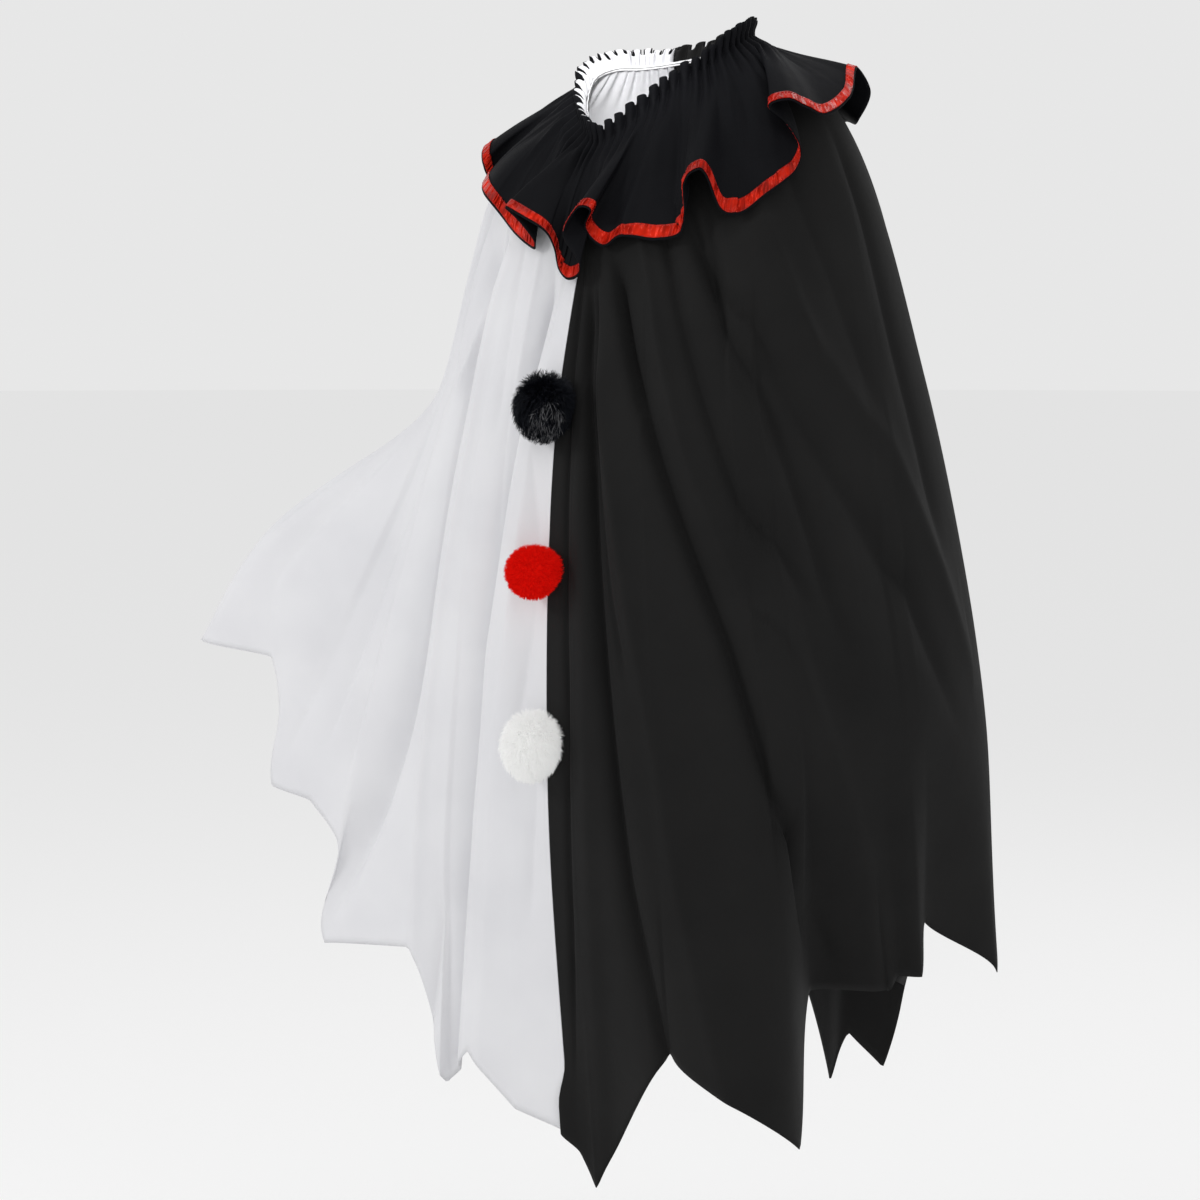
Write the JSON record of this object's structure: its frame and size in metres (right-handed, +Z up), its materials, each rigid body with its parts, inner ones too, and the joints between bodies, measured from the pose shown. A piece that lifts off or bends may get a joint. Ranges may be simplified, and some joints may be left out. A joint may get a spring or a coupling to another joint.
{
  "type": "clown cape",
  "caption": "Hollow gathered cape, half white and half black, with a frilled elastic neck, a deep ruffle edged in red satin ribbon, front pompoms and a dagged hem, held as worn.",
  "frame": {"origin": "middle of the neck opening, where the wearer's neck and shoulders hold the cape", "axes": "+Z up; the front with the pompoms faces -Y; +X is the wearer's left, the black side"},
  "size_m": [0.8028, 0.4689, 1.1513],
  "materials": {
    "black_cloth": "matt charcoal-black polyester, fine weave",
    "white_cloth": "matt cool white polyester, slightly sheer",
    "ruffle_cloth": "soft matt black polyester",
    "satin_ribbon": "glossy red satin",
    "elastic": "ribbed white elastic",
    "black_fur": "long silky imitation fur",
    "red_fur": "short dense imitation fur",
    "white_fur": "long silky imitation fur"
  },
  "bodies": {
    "root": {"cape_left_black": "black_cloth", "cape_right_white": "white_cloth", "ruffle": "ruffle_cloth", "ribbon": "satin_ribbon", "neck_elastic": "elastic", "pompom_black": "black_fur", "pompom_red": "red_fur", "pompom_white": "white_fur"}
  },
  "joints": []
}
